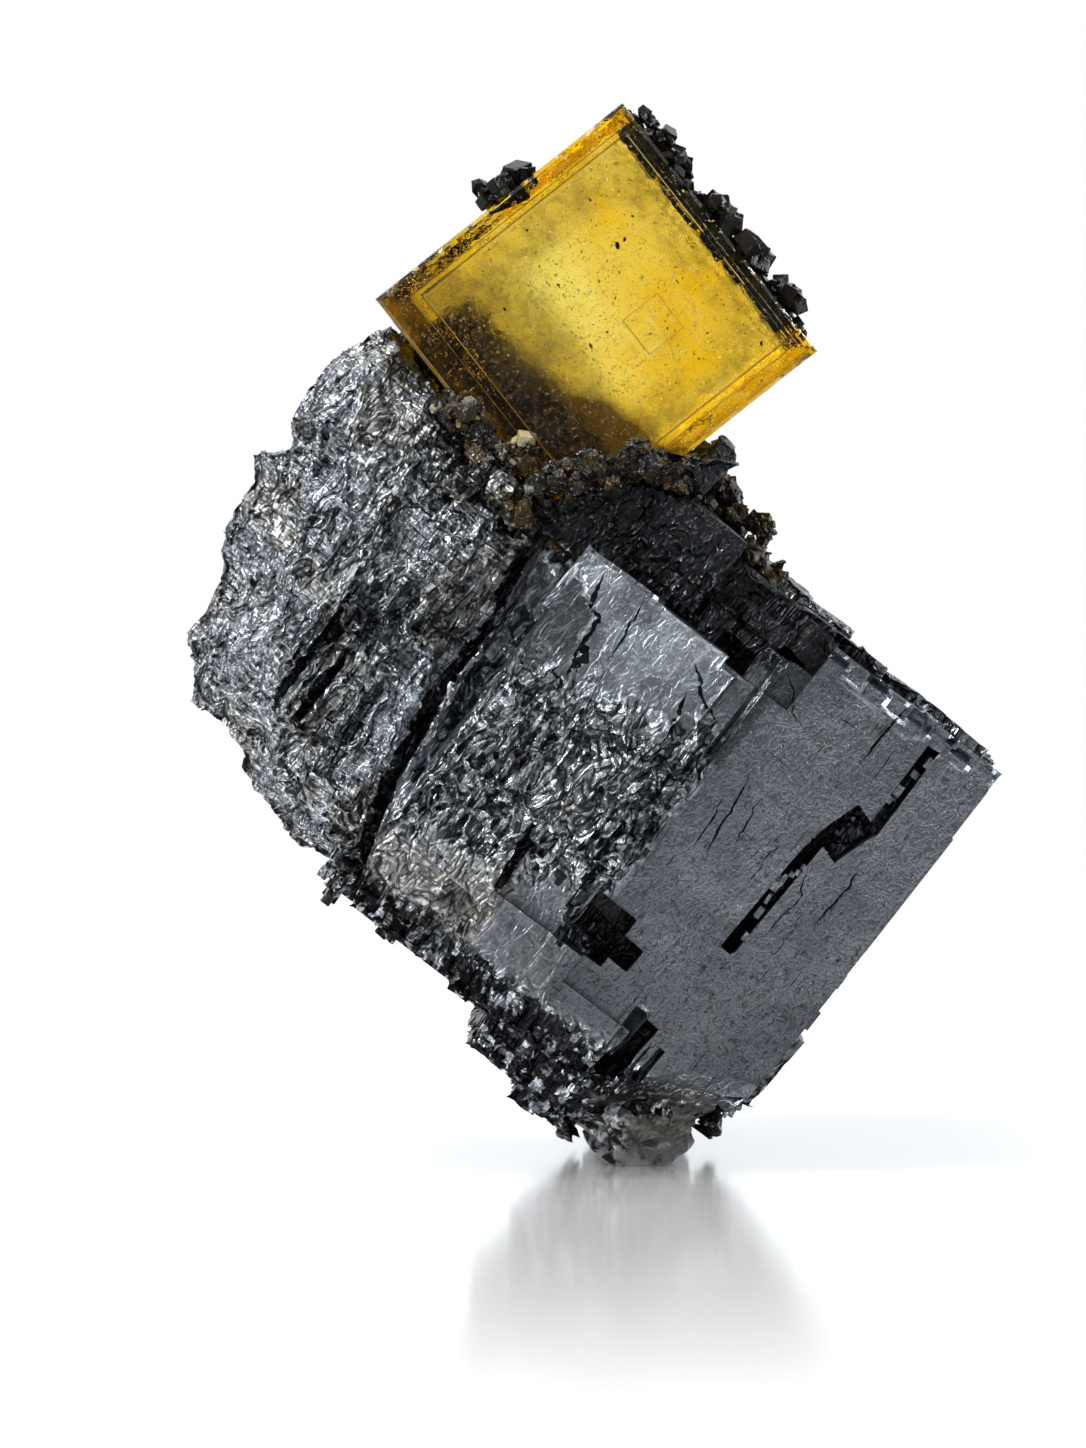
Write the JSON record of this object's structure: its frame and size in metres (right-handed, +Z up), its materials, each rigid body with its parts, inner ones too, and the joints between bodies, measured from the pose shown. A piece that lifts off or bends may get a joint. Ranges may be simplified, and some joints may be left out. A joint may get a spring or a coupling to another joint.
{
  "type": "fluorite on galena specimen",
  "caption": "Cabinet mineral specimen: a clear honey-yellow fluorite cube with black sphalerite on stepped, lead-grey galena crystals, standing on its lower tip",
  "frame": {"origin": "on the small flat foot below the specimen's lower tip, where it rests", "axes": "+Z up, the longest extent; +X to the right and +Y away from someone who looks at the fluorite cube's large front face"},
  "size_m": [0.0831, 0.0559, 0.1065],
  "materials": {
    "galena": "metallic lead-grey cleavage faces, rough and striated on the left, smooth and scuffed on the right",
    "fluorite": "clear honey-yellow crystal with fine pits on its faces",
    "host_rock": "dull brown and pale grey broken rock",
    "druse": "sparkling crust of small brown and clear crystals",
    "sphalerite": "black, glossy crystal faces"
  },
  "bodies": {
    "root": {"galena": "galena", "fluorite_cube": "fluorite", "host_rock": "host_rock", "druse_left": "druse", "druse_front": "druse", "druse_right": "druse", "sphalerite_left": "sphalerite", "sphalerite_edge_1": "sphalerite", "sphalerite_edge_2": "sphalerite", "sphalerite_edge_3": "sphalerite", "sphalerite_edge_4": "sphalerite"}
  },
  "joints": []
}
